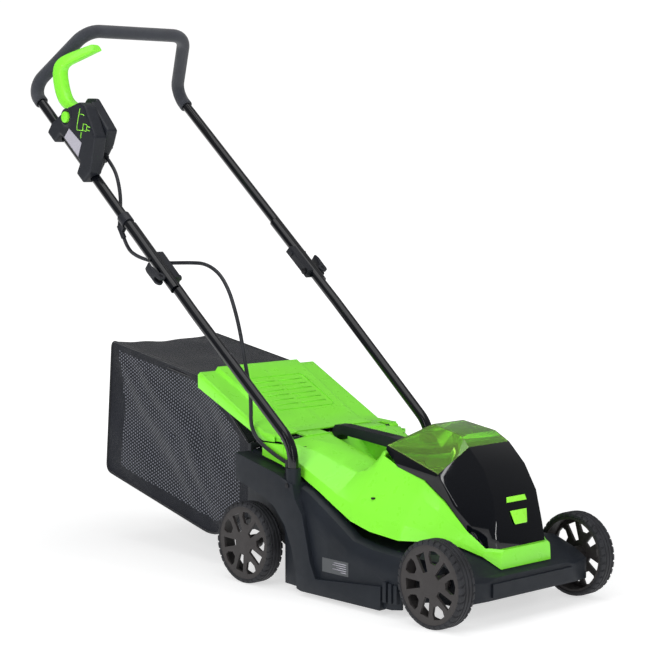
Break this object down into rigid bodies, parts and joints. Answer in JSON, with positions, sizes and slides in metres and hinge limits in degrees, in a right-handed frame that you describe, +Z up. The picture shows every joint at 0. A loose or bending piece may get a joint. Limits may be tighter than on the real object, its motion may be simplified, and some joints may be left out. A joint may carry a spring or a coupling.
{
  "type": "push lawn mower",
  "caption": "Cordless push lawn mower with a folding tube handle, sprung rear flap, soft grass bag, tinted battery lid and spoked plastic wheels.",
  "frame": {"origin": "on the ground, under the middle of the whole mower's bounding box", "axes": "+Z up, the mower's front faces -Y, the operator's right-hand side is -X"},
  "size_m": [0.4192, 1.176, 1.0093],
  "materials": {
    "deck_plastic": "fine-textured charcoal moulding",
    "green_plastic": "satin bright green moulding",
    "green_lever": "satin bright green moulding",
    "hood_gloss": "piano black",
    "lid_tint": "clear, tinted green",
    "handle_plastic": "ribbed charcoal",
    "switch_plastic": "satin black",
    "cam_plastic": "satin black",
    "rim_plastic": "warm dark grey moulding",
    "tyre_rubber": "ribbed tread",
    "tube_paint": "semi-gloss black powder coat",
    "foam": "matt foam",
    "cable_rubber": "satin sheath",
    "bag_cloth": "black mesh and woven panels",
    "bag_frame": "black moulding",
    "steel": "zinc plated",
    "dark_screws": "black oxide",
    "blade_paint": "black enamel with ground edges",
    "adapter": "black moulding",
    "motor_can": "drawn can",
    "board": "solder mask",
    "contacts": "bright",
    "pack_plastic": "charcoal moulding",
    "key_plastic": "bright green",
    "badge": "bright green print",
    "label": "blank grey plate"
  },
  "bodies": {
    "chassis": {"deck_shell": "deck_plastic", "top_cover": "green_plastic", "nose_hood": "hood_gloss", "lid_pin": "steel", "carry_handle": "handle_plastic", "battery_tray": "deck_plastic", "battery_contacts": "contacts", "motor_housing": "motor_can", "motor_plate": "steel", "control_board": "board", "front_axle": "steel", "rear_axle": "steel", "axle_washers": "steel", "lower_tube_right": "tube_paint", "lower_tube_left": "tube_paint", "saddle_right": "deck_plastic", "saddle_left": "deck_plastic", "lock_bolts": "steel", "socket_screws": "dark_screws", "cover_screws": "dark_screws", "flap_pins": "steel", "side_label": "label", "nose_badge": "badge", "cable_grommet": "deck_plastic", "cable_lower": "cable_rubber"},
    "front_right_wheel": {"wheel_front_right_rim": "rim_plastic", "wheel_front_right_tyre": "tyre_rubber"},
    "front_left_wheel": {"wheel_front_left_rim": "rim_plastic", "wheel_front_left_tyre": "tyre_rubber"},
    "rear_right_wheel": {"wheel_rear_right_rim": "rim_plastic", "wheel_rear_right_tyre": "tyre_rubber"},
    "rear_left_wheel": {"wheel_rear_left_rim": "rim_plastic", "wheel_rear_left_tyre": "tyre_rubber"},
    "rotor": {"motor_shaft": "steel", "blade": "blade_paint", "blade_adapter": "adapter", "blade_bolt": "steel"},
    "upper_handle": {"upper_tube": "tube_paint", "foam_grip": "foam", "switch_box_outer": "switch_plastic", "switch_box_inner": "switch_plastic", "switch_screws": "dark_screws", "switch_label": "label", "bail_pin": "steel", "cable_gland": "deck_plastic", "cable_clip": "deck_plastic", "cable_upper": "cable_rubber"},
    "bail": {"bail_lever": "green_lever"},
    "start_button": {"safety_button": "green_lever"},
    "right_cam": {"cam_lever_right": "cam_plastic"},
    "left_cam": {"cam_lever_left": "cam_plastic"},
    "flap": {"rear_flap": "green_plastic"},
    "lid": {"battery_lid": "lid_tint"},
    "pack": {"battery_pack": "pack_plastic"},
    "key": {"safety_key": "key_plastic"},
    "grass_bag": {"bag_body": "bag_cloth", "bag_mouth_frame": "bag_frame", "bag_wire": "tube_paint"}
  },
  "joints": [
    {"name": "front_right_wheel_spin", "type": "hinge", "parent": "chassis", "child": "front_right_wheel", "pos_m": [-0.173, -0.516, 0.072], "axis": [1, 0, 0], "continuous": true},
    {"name": "front_left_wheel_spin", "type": "hinge", "parent": "chassis", "child": "front_left_wheel", "pos_m": [0.173, -0.516, 0.072], "axis": [1, 0, 0], "continuous": true},
    {"name": "rear_right_wheel_spin", "type": "hinge", "parent": "chassis", "child": "rear_right_wheel", "pos_m": [-0.173, -0.061, 0.072], "axis": [1, 0, 0], "continuous": true},
    {"name": "rear_left_wheel_spin", "type": "hinge", "parent": "chassis", "child": "rear_left_wheel", "pos_m": [0.173, -0.061, 0.072], "axis": [1, 0, 0], "continuous": true},
    {"name": "blade_spin", "type": "hinge", "parent": "chassis", "child": "rotor", "pos_m": [0, -0.287, 0.1], "axis": [0, 0, 1], "continuous": true},
    {"name": "handle_fold", "type": "hinge", "parent": "chassis", "child": "upper_handle", "pos_m": [0, 0.15836, 0.52788], "axis": [1, 0, 0], "range_deg": [0, 140], "deforming": ["cable_lower"]},
    {"name": "bail_squeeze", "type": "hinge", "parent": "upper_handle", "child": "bail", "pos_m": [-0.175, 0.43195, 0.84182], "axis": [-1, 0, 0], "range_deg": [0, 12], "stiffness_Nm_per_rad": 1.2, "springref_deg": -14.32},
    {"name": "button_press", "type": "slide", "parent": "upper_handle", "child": "start_button", "axis": [1, 0, 0], "range_m": [0, 0.0035], "stiffness_N_per_m": 500, "springref_m": -0.002},
    {"name": "right_cam_open", "type": "hinge", "parent": "chassis", "child": "right_cam", "pos_m": [-0.1999, 0.15836, 0.52788], "axis": [0, -0.6384, 0.7697], "range_deg": [0, 120]},
    {"name": "left_cam_open", "type": "hinge", "parent": "chassis", "child": "left_cam", "pos_m": [0.1999, 0.15836, 0.52788], "axis": [0, 0.6384, -0.7697], "range_deg": [0, 120]},
    {"name": "flap_open", "type": "hinge", "parent": "chassis", "child": "flap", "pos_m": [0, -0.1125, 0.254], "axis": [1, 0, 0], "range_deg": [0, 50], "stiffness_Nm_per_rad": 0.4, "springref_deg": -22.92},
    {"name": "lid_open", "type": "hinge", "parent": "chassis", "child": "lid", "pos_m": [0, -0.298, 0.259], "axis": [-1, 0, 0], "range_deg": [0, 75]},
    {"name": "pack_lift", "type": "slide", "parent": "chassis", "child": "pack", "axis": [0, 0, 1], "range_m": [0, 0.035]},
    {"name": "key_lift", "type": "slide", "parent": "chassis", "child": "key", "axis": [0, 0, 1], "range_m": [0, 0.02]},
    {"name": "bag_removal", "type": "slide", "parent": "chassis", "child": "grass_bag", "axis": [0, 1, 0], "range_m": [0, 0.3]}
  ]
}
